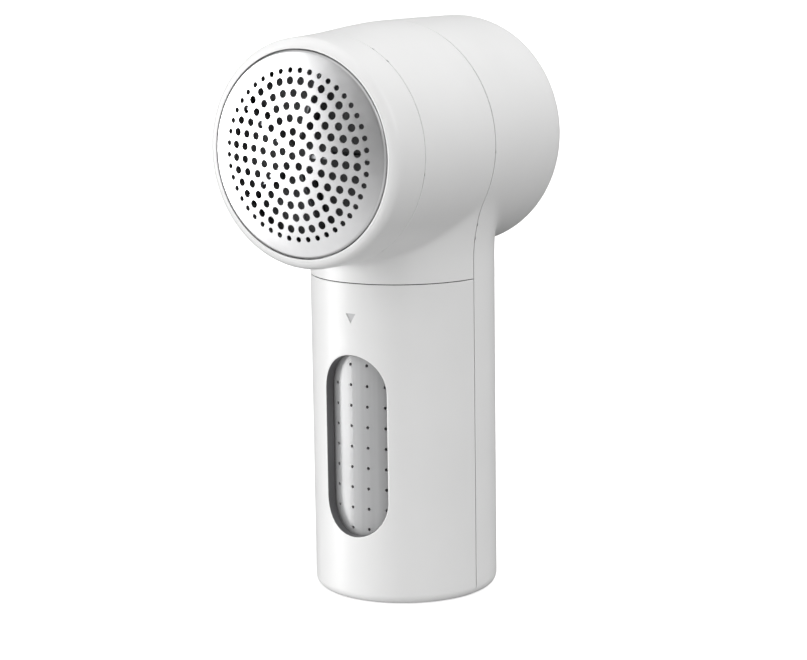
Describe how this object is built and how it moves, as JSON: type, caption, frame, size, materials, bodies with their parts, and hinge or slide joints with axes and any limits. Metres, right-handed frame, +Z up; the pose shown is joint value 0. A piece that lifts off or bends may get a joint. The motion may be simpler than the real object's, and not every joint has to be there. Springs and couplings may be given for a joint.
{
  "type": "fabric shaver",
  "caption": "Cordless fabric shaver: a barrel head with a domed perforated shaving net on a round handle whose front half is a slide-off lint bin with a window.",
  "frame": {"origin": "centre of the round handle on its flat base", "axes": "+Z up the handle, -Y towards the shaving net, +X to the right of someone who looks at the net from behind the shaver"},
  "size_m": [0.0612, 0.0813, 0.1486],
  "materials": {
    "shell_white": "fine matt moulded white plastic",
    "button_white": "matt moulded white plastic, a little smoother where it is pressed",
    "inner_plastic": "light grey moulded plastic of the inner parts",
    "dark_plastic": "dark grey glass-filled plastic",
    "liner_smoke": "smoky glossy plastic of the bin's perforated liner",
    "net_steel": "satin etched stainless steel",
    "blade_steel": "ground stainless steel",
    "bright_steel": "bright spring and shaft steel",
    "zinc_plate": "zinc-plated steel",
    "seal_rubber": "black silicone rubber",
    "felt": "pressed grey felt",
    "cell_wrap": "blue shrink wrap",
    "board_green": "green solder mask on glass-fibre board",
    "clear_lens": "clear diffusing plastic",
    "lead_red": "red wire insulation",
    "lead_black": "black wire insulation"
  },
  "bodies": {
    "housing": {"rear_housing": "shell_white", "front_housing": "shell_white", "partition": "inner_plastic", "cutter_chamber": "inner_plastic", "shaft_seal": "felt", "lint_chute": "inner_plastic", "motor_can": "zinc_plate", "motor_end_cap": "dark_plastic", "motor_cushion": "seal_rubber", "motor_screw_1": "zinc_plate", "motor_screw_2": "zinc_plate", "head_screw_1": "zinc_plate", "head_screw_2": "zinc_plate", "housing_screw_1": "zinc_plate", "housing_screw_2": "zinc_plate", "housing_screw_3": "zinc_plate", "housing_screw_4": "zinc_plate", "bin_catch": "bright_steel", "battery_cell": "cell_wrap", "battery_holder": "inner_plastic", "battery_contact_low": "zinc_plate", "battery_contact_high": "zinc_plate", "control_board": "board_green", "power_switch": "dark_plastic", "indicator_lens": "clear_lens", "status_led": "clear_lens", "charge_board": "board_green", "usb_socket": "bright_steel", "motor_lead_red": "lead_red", "motor_lead_black": "lead_black"},
    "cap_seal": {"cap_seal": "seal_rubber"},
    "net_cap": {"net_cap_ring": "shell_white", "shaving_net": "net_steel", "net_retainer": "inner_plastic"},
    "rotor": {"motor_shaft": "bright_steel", "drive_hub": "dark_plastic", "float_spring": "bright_steel"},
    "cutter": {"blade_carrier": "dark_plastic", "cutter_blade_1": "blade_steel", "cutter_blade_2": "blade_steel", "cutter_blade_3": "blade_steel", "cutter_blade_4": "blade_steel", "cutter_blade_5": "blade_steel"},
    "lint_bin": {"bin_shell": "shell_white", "bin_liner": "liner_smoke", "bin_seal": "seal_rubber"},
    "button": {"power_button": "button_white", "switch_plunger": "dark_plastic"}
  },
  "joints": [
    {"name": "cap_twist", "type": "hinge", "parent": "housing", "child": "cap_seal", "pos_m": [0, -0.0334, 0.118], "axis": [0, -1, 0], "range_deg": [0, 122]},
    {"name": "cap_draw", "type": "slide", "parent": "cap_seal", "child": "net_cap", "axis": [0, -1, 0], "range_m": [0, 0.008]},
    {"name": "cutter_spin", "type": "hinge", "parent": "housing", "child": "rotor", "pos_m": [0, -0.03, 0.118], "axis": [0, -1, 0], "continuous": true},
    {"name": "cutter_float", "type": "slide", "parent": "rotor", "child": "cutter", "axis": [0, 1, 0], "range_m": [0, 0.0006], "stiffness_N_per_m": 300, "springref_m": -0.003, "deforming": ["float_spring"]},
    {"name": "bin_slide", "type": "slide", "parent": "housing", "child": "lint_bin", "axis": [0, 0, -1], "range_m": [0, 0.086]},
    {"name": "button_press", "type": "slide", "parent": "housing", "child": "button", "axis": [0, -1, 0], "range_m": [0, 0.0006], "stiffness_N_per_m": 1500, "springref_m": -0.0005}
  ],
  "couplings": [
    {"joint": "cap_twist", "follows": "cap_draw", "rad_per_m": 261.8}
  ]
}
